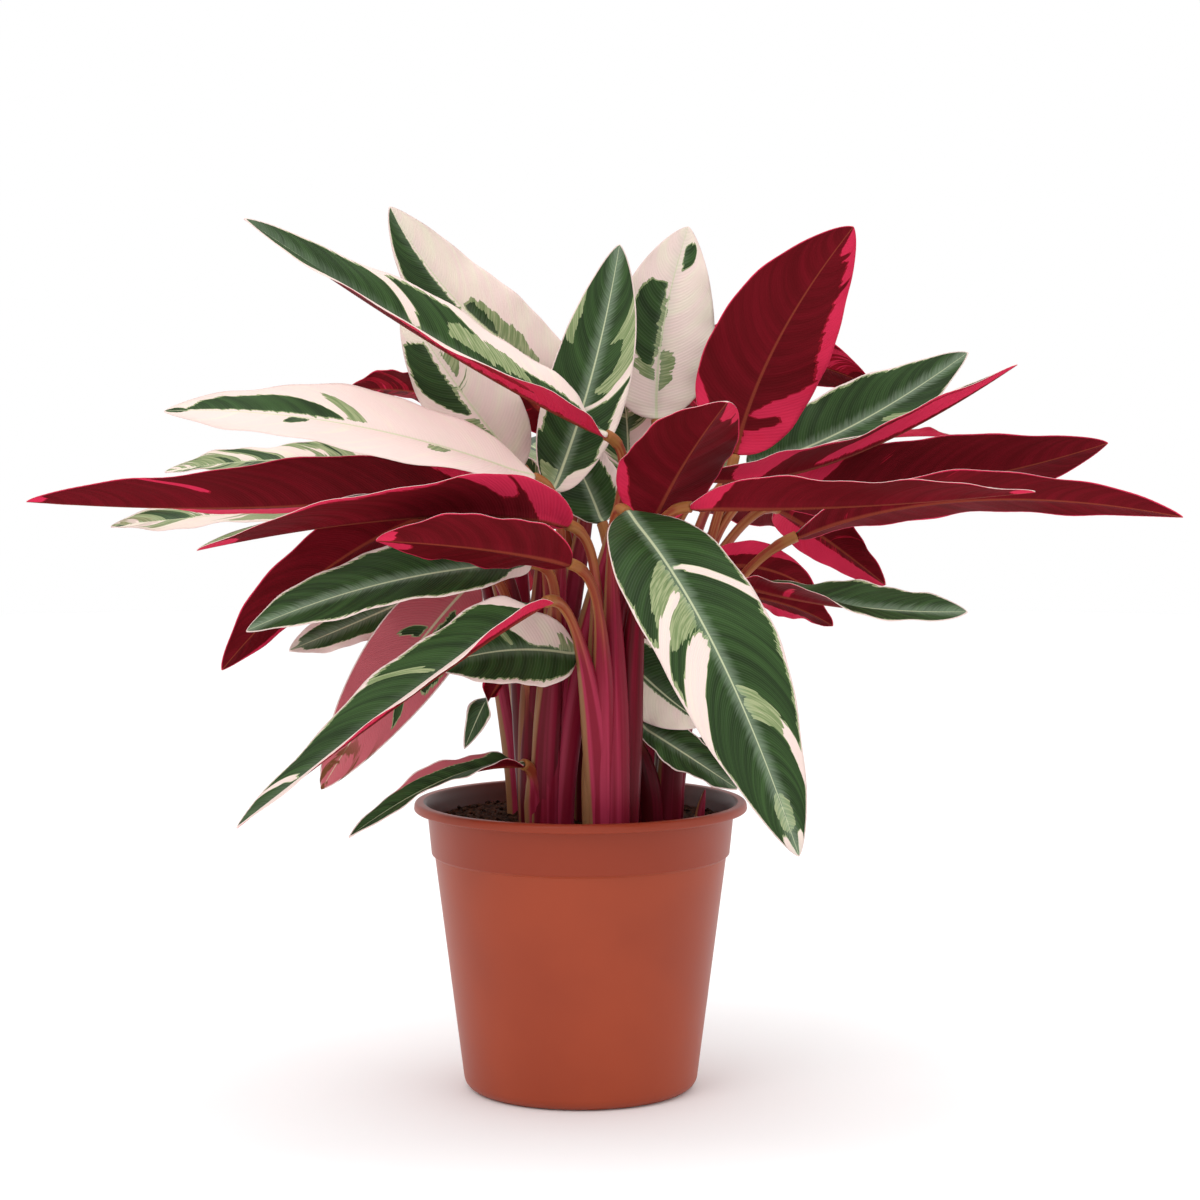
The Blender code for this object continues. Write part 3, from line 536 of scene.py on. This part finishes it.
def tube_faces(first, rings, sides):
    """The faces of a closed tube, from rings of points that start at index first."""
    faces = []
    for k in range(rings - 1):
        for m in range(sides):
            a, b = first + k * sides + m, first + k * sides + (m + 1) % sides
            faces.append((a, b, b + sides, a + sides))
    top = first + (rings - 1) * sides
    faces.append(tuple(range(first, first + sides))[::-1])
    faces.append(tuple(range(top, top + sides)))
    return faces


def skin_faces(rings, sides):
    """The faces of a closed skin: a point below, rings of points upwards and a point above."""
    last = 1 + rings * sides
    top = last - sides
    faces = []
    for k in range(sides):
        after = (k + 1) % sides
        faces.append((0, 1 + after, 1 + k))
        for r in range(rings - 1):
            low, high = 1 + r * sides, 1 + (r + 1) * sides
            faces.append((low + k, low + after, high + after, high + k))
        faces.append((top + k, top + after, last))
    return faces


# Canes

def stem_path(leaf, steps):
    """The sheath and stalk of one leaf, from its cane's foot up and over to the blade."""
    x, y, radius = CANES[leaf.cane]
    base, along = midrib(leaf, 0)
    away = Vector((base.x - x, base.y - y, 0))
    away = away.normalized() if away.length > 1 else Vector((0, -1, 0))
    start = Vector((x, y, SOIL_LEVEL + 0.6 * FOOT_RISE)) + away * (radius * SPREAD)
    end = base - along * GAP
    rise = (end - start).length
    up = start + Vector((away.x * 0.03, away.y * 0.03, 0.58)) * rise
    turn = end - along * min(TURN, 0.2 * rise)
    path = []
    for k in range(steps + 1):
        t = (k / steps) ** 0.85
        s = 1 - t
        path.append(start * s ** 3 + up * (3 * s * s * t) + turn * (3 * s * t * t) + end * t ** 3)
    return path, along, away, rise


def make_cane(name, finish):
    """A cane's foot and the sheaths and stalks of its leaves, as closed tubes in one mesh."""
    points, faces, stalks = [], [], []
    x, y, radius = CANES[name]
    for leaf in LEAVES:
        if leaf.cane != name:
            continue
        seed = LEAVES.index(leaf) + 1
        path, along, away, rise = stem_path(leaf, STEM_STEPS)
        side = Vector((1, 0, 0))
        first = len(points)
        path.insert(0, path[0] - Vector((0, 0, SHEATH_ROOT)))
        for k, point in enumerate(path):
            if k == len(path) - 1:
                ahead = along
            else:
                ahead = (path[k + 1] - path[max(0, k - 1)]).normalized()
            side = (side - ahead * side.dot(ahead)).normalized()
            other = ahead.cross(side)
            s = max(0, (k - 1) / STEM_STEPS)
            share = 1 - smoothstep(*SHEATH_ENDS, s)
            size = PETIOLE_RADIUS + (SHEATH_RADIUS - PETIOLE_RADIUS) * share
            size += JOINT_SWELL * smoothstep(1 - JOINT_FROM / rise, 1 - JOINT_TO / rise, s)
            for m in range(STEM_SIDES):
                angle = 2 * pi * m / STEM_SIDES
                flute = 1 + 0.05 * share * cos(5 * angle + seed)
                points.append(point + side * (size * flute * cos(angle))
                              + other * (size * flute * (1 - 0.2 * share) * sin(angle)))
                stalks.append((s, cos(angle) * 4, seed + sin(angle) * 0.3))
        faces += tube_faces(first, len(path), STEM_SIDES)
    first = len(points)
    rings = ((SOIL_LEVEL - FOOT_DEPTH, 0.9), (SOIL_LEVEL - FOOT_DEPTH + 3, 1), (SOIL_LEVEL, 0.98),
             (SOIL_LEVEL + FOOT_RISE, 0.80))
    for height, share in rings:
        for m in range(FOOT_SIDES):
            angle = 2 * pi * m / FOOT_SIDES
            lump = share * (1 + 0.05 * sin(4 * angle + x))
            points.append(Vector((x + radius * lump * cos(angle), y + radius * lump * sin(angle), height)))
            stalks.append((0.0, 4 * cos(3 * angle), x))
    faces += tube_faces(first, len(rings), FOOT_SIDES)
    obj = new_object(f"cane_{name}_stems", points, faces, finish)
    add_vectors(obj, "stalk", stalks)
    dress(obj, f"cane_{name}")
    return obj


def make_shoot(finish):
    """A young rolled leaf: a slim spindle with a seam winding up it."""
    x, y = SHOOT_PLACE
    points, stalks = [], []
    low, high = SOIL_LEVEL - FOOT_DEPTH, SOIL_LEVEL + SHOOT_HEIGHT
    for k in range(SHOOT_ROWS + 1):
        height = low + (high - low) * k / SHOOT_ROWS
        above = max(0, (height - SOIL_LEVEL) / SHOOT_HEIGHT)
        radius = SHOOT_RADIUS * (1 - 0.85 * above ** 2.2)
        lean = SHOOT_LEAN * above ** 1.6
        for m in range(SHOOT_SIDES):
            angle = 2 * pi * m / SHOOT_SIDES
            seam = 1 - 0.12 * exp(-((m - 6 - 8 * above) / 1.2) ** 2)
            points.append((x + lean + radius * seam * cos(angle), y + radius * seam * sin(angle), height))
            stalks.append((0.15, cos(angle) * 4, 77))
    faces = tube_faces(0, SHOOT_ROWS + 1, SHOOT_SIDES)
    obj = new_object("new_shoot_leaf", points, faces, finish)
    add_vectors(obj, "stalk", stalks)
    dress(obj, "new_shoot")
    return obj


# Pot and soil

def turned(name, profile, sides, finish):
    """A solid of revolution about Z, from a profile of (radius, height) that starts and ends on the axis."""
    rings = profile[1:-1]
    points = [(0, 0, profile[0][1])]
    for radius, height in rings:
        points += circle(radius, height, sides)
    points.append((0, 0, profile[-1][1]))
    return new_object(name, points, skin_faces(len(rings), sides), finish)


def arc(centre, radius, start, end, count):
    """Points of an arc in the profile's plane, between two angles in degrees."""
    angles = [radians(start + (end - start) * k / count) for k in range(count + 1)]
    return [(centre[0] + radius * cos(a), centre[1] + radius * sin(a)) for a in angles]


def make_pot(finish):
    """The pot's shell, turned from its profile, with the drain holes cut through its base."""
    lip = POT_HEIGHT - RIM_LIP
    below_collar = COLLAR_FOOT_RADIUS - COLLAR_STEP
    outer = [(0, BASE_DISH), (BASE_RADIUS - 20, BASE_DISH), (BASE_RADIUS - 17, 0)]
    outer += arc((BASE_RADIUS - BASE_ROUND + 0.3, BASE_ROUND), BASE_ROUND, 270, 355, 9)
    outer += [(below_collar - 0.1, COLLAR_FOOT - 1.6)]
    outer += arc((COLLAR_FOOT_RADIUS - 0.7, COLLAR_FOOT + 0.2), 0.7, 270, 355, 4)
    outer += [
        (COLLAR_TOP_RADIUS - 0.35, lip - 1.2),
        (COLLAR_TOP_RADIUS + 0.2, lip - 0.3),
        (COLLAR_TOP_RADIUS + 1.2, lip),
    ]
    outer += arc((RIM_RADIUS - 1.3, lip + 1.3), 1.3, 270, 350, 5)
    outer += arc((RIM_RADIUS - 2.2, POT_HEIGHT - 2.0), 2.0, 10, 90, 6)
    outer += arc((RIM_RADIUS - 4.2, POT_HEIGHT - 2.6), 2.5, 80, 150, 5)
    inner = [
        (COLLAR_TOP_RADIUS - POT_WALL, POT_HEIGHT - 6),
        (COLLAR_FOOT_RADIUS - POT_WALL, COLLAR_FOOT + 0.8),
        (below_collar - POT_WALL, COLLAR_FOOT - 1.4),
        (BASE_RADIUS - POT_WALL, BASE_ROUND + 1),
        (BASE_RADIUS - BASE_ROUND - 0.4, POT_WALL + 0.4),
        (0, POT_WALL + 0.4),
    ]
    pot = turned("pot_shell", outer + inner, POT_SIDES, finish)
    cutters = bpy.data.collections.new("drain_cutters")
    bpy.context.scene.collection.children.link(cutters)
    hole_profile = [(0, -5), (DRAIN_RADIUS, -5), (DRAIN_RADIUS, 8), (0, 8)]
    for k in range(DRAIN_HOLES):
        angle = 2 * pi * (k + 0.5) / DRAIN_HOLES
        hole = turned(f"drain_cutter_{k}", hole_profile, DRAIN_SIDES, finish)
        for vert in hole.data.vertices:
            vert.co += Vector((DRAIN_RING * cos(angle), DRAIN_RING * sin(angle), 0)) * MM
        bpy.context.scene.collection.objects.unlink(hole)
        cutters.objects.link(hole)
    modifier = pot.modifiers.new("drain", "BOOLEAN")
    modifier.operation = "DIFFERENCE"
    modifier.operand_type = "COLLECTION"
    modifier.collection = cutters
    modifier.solver = "EXACT"
    bpy.context.view_layer.update()
    graph = bpy.context.evaluated_depsgraph_get()
    cut = bpy.data.meshes.new_from_object(pot.evaluated_get(graph))
    pot.modifiers.remove(modifier)
    pot.data = cut
    for hole in list(cutters.objects):
        bpy.data.objects.remove(hole, do_unlink=True)
    bpy.data.collections.remove(cutters)
    cut.set_sharp_from_angle(angle=radians(SHARP_ANGLE))
    dress(pot, "pot")
    return pot


def soil_height(x, y):
    """The height of the soil's uneven top."""
    spot = Vector((x, y, SOIL_DRAW))
    lump = SOIL_LUMP * noise.noise(spot * 0.09)
    crumb = 1.5 * abs(noise.noise(spot * 0.35)) + 0.9 * noise.noise(spot * 0.9)
    return SOIL_LEVEL + lump + crumb - 0.4


def make_soil(finish):
    """The soil's rough top with its side down the inside of the pot."""
    top_radius = COLLAR_FOOT_RADIUS + 1.0 - POT_WALL
    profile = (
        (BASE_RADIUS - BASE_ROUND - 1, POT_WALL + 0.8),
        (BASE_RADIUS - POT_WALL - 0.6, BASE_ROUND + 1.4),
        (COLLAR_FOOT_RADIUS - COLLAR_STEP - POT_WALL - 0.6, COLLAR_FOOT - 1.4),
        (COLLAR_FOOT_RADIUS - POT_WALL - 0.5, COLLAR_FOOT + 0.8),
        (top_radius, SOIL_LEVEL - 1),
    )
    points = [(0, 0, profile[0][1])]
    for radius, height in profile:
        points += circle(radius, height, SOIL_SIDES)
    for r in range(SOIL_RINGS):
        radius = top_radius * (1 - (r + 0.4) / (SOIL_RINGS + 0.4))
        for k in range(SOIL_SIDES):
            angle = 2 * pi * (k + 0.5 * (r % 2)) / SOIL_SIDES
            x, y = radius * cos(angle), radius * sin(angle)
            points.append((x, y, soil_height(x, y)))
    points.append((0, 0, soil_height(0, 0)))
    faces = skin_faces(len(profile) + SOIL_RINGS, SOIL_SIDES)
    soil = new_object("soil_body", points, faces, finish)
    dress(soil, "soil")
    chance = random.Random(CRUMB_DRAW)
    points, faces = [], []
    for _ in range(CRUMBS):
        angle, radius = chance.uniform(0, 2 * pi), top_radius * sqrt(chance.random()) * 0.97
        x, y = radius * cos(angle), radius * sin(angle)
        size = chance.uniform(0.5, 1.5) if chance.random() < 0.85 else chance.uniform(1.5, 2.6)
        add_crumb(points, faces, chance, Vector((x, y, soil_height(x, y) + 0.2 * size)), size)
    crumbs = new_object("soil_crumbs", points, faces, finish)
    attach(crumbs, "root")


def add_crumb(points, faces, chance, centre, size):
    """A small angular crumb: a lumpy double pyramid with six sides."""
    first = len(points)
    turn = chance.uniform(0, pi)
    stretch = (chance.uniform(0.7, 1.8), chance.uniform(0.6, 1.1), chance.uniform(0.5, 0.9))
    axes = [(0, 0, 1), (0, 0, -1)]
    axes += [(cos(2 * pi * m / 6), sin(2 * pi * m / 6), 0.35 * (-1) ** m) for m in range(6)]
    for axis in axes:
        reach = size * chance.uniform(0.7, 1.15)
        x, y, z = (axis[n] * stretch[n] * reach for n in range(3))
        points.append(centre + Vector((x * cos(turn) - y * sin(turn), x * sin(turn) + y * cos(turn), z)))
    for m in range(6):
        a, b = first + 2 + m, first + 2 + (m + 1) % 6
        faces.append((a, b, first))
        faces.append((b, a, first + 1))


# Materials

class Graph:
    """Short names for building a shader's nodes."""

    def __init__(self, name):
        self.material = bpy.data.materials.new(name)
        self.material.use_nodes = True
        self.tree = self.material.node_tree
        self.shader = self.tree.nodes["Principled BSDF"]

    def node(self, kind, **inputs):
        made = self.tree.nodes.new(kind)
        for name, value in inputs.items():
            self.feed(made.inputs[name.replace("_", " ")], value)
        return made

    def feed(self, socket, value):
        if isinstance(value, bpy.types.NodeSocket):
            self.tree.links.new(value, socket)
        elif isinstance(value, tuple) and len(value) == 3 and socket.type == "RGBA":
            socket.default_value = (*value, 1)
        else:
            socket.default_value = value

    def math(self, operation, first, second=0.0):
        made = self.tree.nodes.new("ShaderNodeMath")
        made.operation = operation
        self.feed(made.inputs[0], first)
        self.feed(made.inputs[1], second)
        return made.outputs[0]

    def plus(self, first, second):
        return self.math("ADD", first, second)

    def minus(self, first, second):
        return self.math("SUBTRACT", first, second)

    def times(self, first, second):
        return self.math("MULTIPLY", first, second)

    def parts(self, attribute):
        """The three numbers that an attribute stores at every point."""
        source = self.tree.nodes.new("ShaderNodeAttribute")
        source.attribute_name = attribute
        return self.split(source.outputs["Vector"])

    def split(self, vector):
        made = self.node("ShaderNodeSeparateXYZ", Vector=vector)
        return made.outputs["X"], made.outputs["Y"], made.outputs["Z"]

    def vector(self, x, y, z):
        return self.node("ShaderNodeCombineXYZ", X=x, Y=y, Z=z).outputs["Vector"]

    def noise(self, vector, scale=1.0, detail=2.0, roughness=0.5):
        made = self.node("ShaderNodeTexNoise", Vector=vector, Scale=scale)
        made.inputs["Detail"].default_value = detail
        made.inputs["Roughness"].default_value = roughness
        return made.outputs["Fac"]

    def band(self, value, low, high):
        """0 below low, 1 above high and smooth between them. Low may be the larger."""
        made = self.tree.nodes.new("ShaderNodeMapRange")
        made.interpolation_type = "SMOOTHSTEP"
        self.feed(made.inputs["Value"], value)
        if low > high:
            low, high = high, low
            made.inputs["To Min"].default_value = 1
            made.inputs["To Max"].default_value = 0
        made.inputs["From Min"].default_value = low
        made.inputs["From Max"].default_value = high
        return made.outputs["Result"]

    def mix(self, share, first, second):
        made = self.tree.nodes.new("ShaderNodeMix")
        made.data_type = "RGBA"
        self.feed(made.inputs[0], share)
        self.feed(made.inputs[6], first)
        self.feed(made.inputs[7], second)
        return made.outputs[2]

    def bump(self, height, distance, strength=1.0):
        made = self.node("ShaderNodeBump", Height=height, Distance=distance, Strength=strength)
        self.tree.links.new(made.outputs["Normal"], self.shader.inputs["Normal"])


def leaf_face(name, face):
    """One side of the leaves, from what their points store: place, share and look."""
    deep, dark, sage, light, cream, blush = face.tones
    g = Graph(name)
    q, d, seed = g.parts("place")
    t, edge, pale = g.parts("share")
    pink, silver, dry = g.parts("look")
    away = g.math("ABSOLUTE", d)
    # noise drawn out along the veins, different on the midrib's two sides
    handed = g.plus(seed, g.times(g.math("SIGN", d), 0.31))
    broad = g.noise(g.vector(g.times(q, 0.16), g.times(away, 0.05), g.times(handed, 7.0)))
    fine = g.noise(g.vector(g.times(q, 0.9), g.times(away, 0.10), g.times(handed, 3.0)))
    streak = g.noise(g.vector(g.times(q, 0.20), g.times(away, 0.02), g.times(handed, 5.0)), 1.0, 3.0)
    # dark, sage and pale parts
    level = g.plus(pale, g.times(g.minus(broad, 0.5), 0.5))
    level = g.plus(level, g.times(g.minus(fine, 0.5), 0.42))
    dark_part = g.mix(g.band(streak, 0.30, 0.75), deep, dark)
    sage_part = g.mix(g.band(fine, 0.4, 0.62), sage, light)
    pale_part = g.mix(g.band(g.plus(broad, g.times(pink, 0.5)), 0.45, 0.95), cream, blush)
    pale_part = g.mix(g.band(pink, *ROSY_FROM), pale_part, ROSY)
    colour = g.mix(g.band(level, *SAGE_FROM), dark_part, sage_part)
    colour = g.mix(g.band(level, *CREAM_FROM), colour, pale_part)
    # lateral veins, and the silver feather along the midrib
    ripple = g.math("SINE", g.times(q, 2 * pi / VEIN_PITCH))
    colour = g.mix(g.times(g.band(ripple, 0.2, 1.0), 0.05), colour, face.veins)
    feather = g.band(g.plus(away, g.times(fine, 6.0)), 9.0, 2.5)
    colour = g.mix(g.times(feather, g.times(silver, 0.45)), colour, face.veins)
    # midrib, narrower to the tip
    slim = g.math("DIVIDE", away, g.minus(1.15, t))
    line = g.band(slim, face.midrib_width, face.midrib_width * 0.4)
    colour = g.mix(g.times(line, 0.75), colour, face.midrib)
    # pale edge
    rim = g.plus(edge, g.times(g.minus(fine, 0.5), 0.5))
    colour = g.mix(g.times(g.band(rim, 0.8, 0.35), g.band(t, 0.0, 0.05)), colour, blush)
    # dry tip
    spots = g.noise(g.vector(g.times(q, 0.10), g.times(d, 0.12), seed), 1.0, 4.0)
    spotted = g.band(g.plus(spots, g.times(t, 0.25)), 0.70, 0.76)
    dried = g.times(spotted, g.times(dry, g.band(t, 0.72, 0.90)))
    colour = g.mix(dried, colour, DRY_BROWN)
    g.feed(g.shader.inputs["Base Color"], colour)
    g.feed(g.shader.inputs["Roughness"], g.plus(face.roughness, g.times(broad, 0.18)))
    g.shader.inputs["Specular IOR Level"].default_value = face.gloss
    g.bump(g.plus(g.times(ripple, 0.25), g.times(streak, 1.5)), 0.0003, 0.5)
    return g.material


def stem_skin():
    """Sheaths in magenta and dark red with olive margins, and stalks in red and ochre above them."""
    g = Graph("stem_skin")
    share, around, seed = g.parts("stalk")
    lines = g.noise(g.vector(g.times(around, 0.38), g.times(share, 0.8), seed), 1.0, 3.0, 0.55)
    broad = g.noise(g.vector(g.times(around, 0.25), g.times(share, 2.5), g.times(seed, 3.0)))
    tint = g.math("FRACT", g.times(g.math("ROUND", seed), 0.618))
    red = g.mix(g.band(tint, 0.25, 0.75), *STEM_REDS)
    pink = g.mix(g.band(tint, 0.25, 0.75), *STEM_PINKS)
    sheath = g.mix(g.band(lines, 0.42, 0.60), red, pink)
    margin = g.band(g.plus(around, g.times(broad, 1.6)), -1.3, -2.1)
    sheath = g.mix(g.times(margin, g.band(tint, 0.30, 0.40)), sheath, STEM_OLIVE)
    stalk = g.mix(g.band(lines, 0.35, 0.65), *STALK_BROWNS)
    rise = g.band(g.plus(share, g.times(broad, 0.5)), 0.60, 0.98)
    colour = g.mix(rise, sheath, stalk)
    joint = g.band(share, 0.88, 0.93)
    colour = g.mix(g.times(joint, 0.6), colour, JOINT_OCHRE)
    g.feed(g.shader.inputs["Base Color"], colour)
    g.shader.inputs["Roughness"].default_value = 0.4
    g.shader.inputs["Specular IOR Level"].default_value = 0.15
    g.bump(lines, 0.0004, 0.6)
    return g.material


def pot_plastic():
    """Terracotta plastic, a little darker on the collar and dark inside, both of them painted shade."""
    g = Graph("pot_plastic_skin")
    source = g.node("ShaderNodeTexCoord")
    place, normal = source.outputs["Object"], source.outputs["Normal"]
    cloud = g.noise(place, 18.0, 3.0)
    grain = g.noise(place, 900.0, 2.0)
    colour = g.mix(g.band(cloud, 0.3, 0.7), *POT_TERRACOTTA)
    x, y, height = g.split(place)
    # painted shade: the collar, above its foot, is darkened as if in the leaves' shade
    collar_shade_share = g.band(height, (COLLAR_FOOT - 1) * MM, COLLAR_FOOT * MM)
    colour = g.mix(collar_shade_share, colour, COLLAR_PAINTED_SHADE)
    across, along = g.split(normal)[:2]
    outward = g.plus(g.times(x, across), g.times(y, along))
    # painted shade: faces turned in towards the axis are darkened as the shaded inside of the pot
    colour = g.mix(g.band(outward, -0.01, -0.03), colour, POT_INSIDE_SHADE)
    g.feed(g.shader.inputs["Base Color"], colour)
    g.feed(g.shader.inputs["Roughness"], g.plus(0.36, g.times(cloud, 0.12)))
    g.shader.inputs["Specular IOR Level"].default_value = 0.3
    g.bump(g.plus(g.times(cloud, 1.5), g.times(grain, 0.12)), 0.0004, 0.35)
    return g.material


def peat():
    """Dark potting soil with paler bits."""
    g = Graph("peat")
    place = g.node("ShaderNodeTexCoord").outputs["Object"]
    lumps = g.noise(place, 320.0, 4.0, 0.65)
    bits = g.noise(place, 1400.0, 2.0)
    colour = g.mix(g.band(lumps, 0.35, 0.7), *PEAT_BROWNS)
    colour = g.mix(g.band(bits, 0.66, 0.74), colour, PEAT_BITS)
    g.feed(g.shader.inputs["Base Color"], colour)
    g.shader.inputs["Roughness"].default_value = 0.9
    g.shader.inputs["Specular IOR Level"].default_value = 0.1
    g.bump(lumps, 0.001, 0.8)
    return g.material


def plain(name, colour, roughness):
    g = Graph(name)
    g.shader.inputs["Base Color"].default_value = (*colour, 1)
    g.shader.inputs["Roughness"].default_value = roughness
    return g.material


# Stage

def make_stage():
    mesh = bpy.data.meshes.new("floor")
    mesh.from_pydata(circle(FLOOR_REACH, 0, FLOOR_SIDES), [], [range(FLOOR_SIDES)])
    mesh.materials.append(plain("floor_white", FLOOR_WHITE, 0.9))
    floor = bpy.data.objects.new("floor", mesh)
    bpy.context.scene.collection.objects.link(floor)
    world = bpy.data.worlds.new("studio")
    world.use_nodes = True
    world.node_tree.nodes["Background"].inputs["Color"].default_value = (1, 1, 1, 1)
    world.node_tree.nodes["Background"].inputs["Strength"].default_value = 1.0
    bpy.context.scene.world = world
    bpy.context.scene.view_settings.view_transform = "Standard"
    for name, place, size, power in LAMPS:
        lamp = bpy.data.lights.new(name, "AREA")
        lamp.size = size
        lamp.energy = power
        light = bpy.data.objects.new(name, lamp)
        bpy.context.scene.collection.objects.link(light)
        light.location = place
        light.rotation_euler = (LAMPS_FACE - Vector(place)).to_track_quat("-Z", "Y").to_euler()


def make_camera():
    camera = bpy.data.cameras.new("camera")
    camera.sensor_width = CAMERA_FRAME
    camera.lens = CAMERA_LENS
    holder = bpy.data.objects.new("camera", camera)
    bpy.context.scene.collection.objects.link(holder)
    holder.location = EYE * MM
    holder.rotation_euler = (radians(90 - CAMERA_PITCH), 0, 0)
    bpy.context.scene.camera = holder


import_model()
make_camera()
make_stage()
upper, under = leaf_face("leaf_upper", UPPER_FACE), leaf_face("leaf_under", UNDER_FACE)
skin = stem_skin()
make_pot(pot_plastic())
make_soil(peat())
for cane in CANES:
    make_cane(cane, skin)
make_shoot(skin)
for row in LEAVES:
    make_blade(row, upper, under)
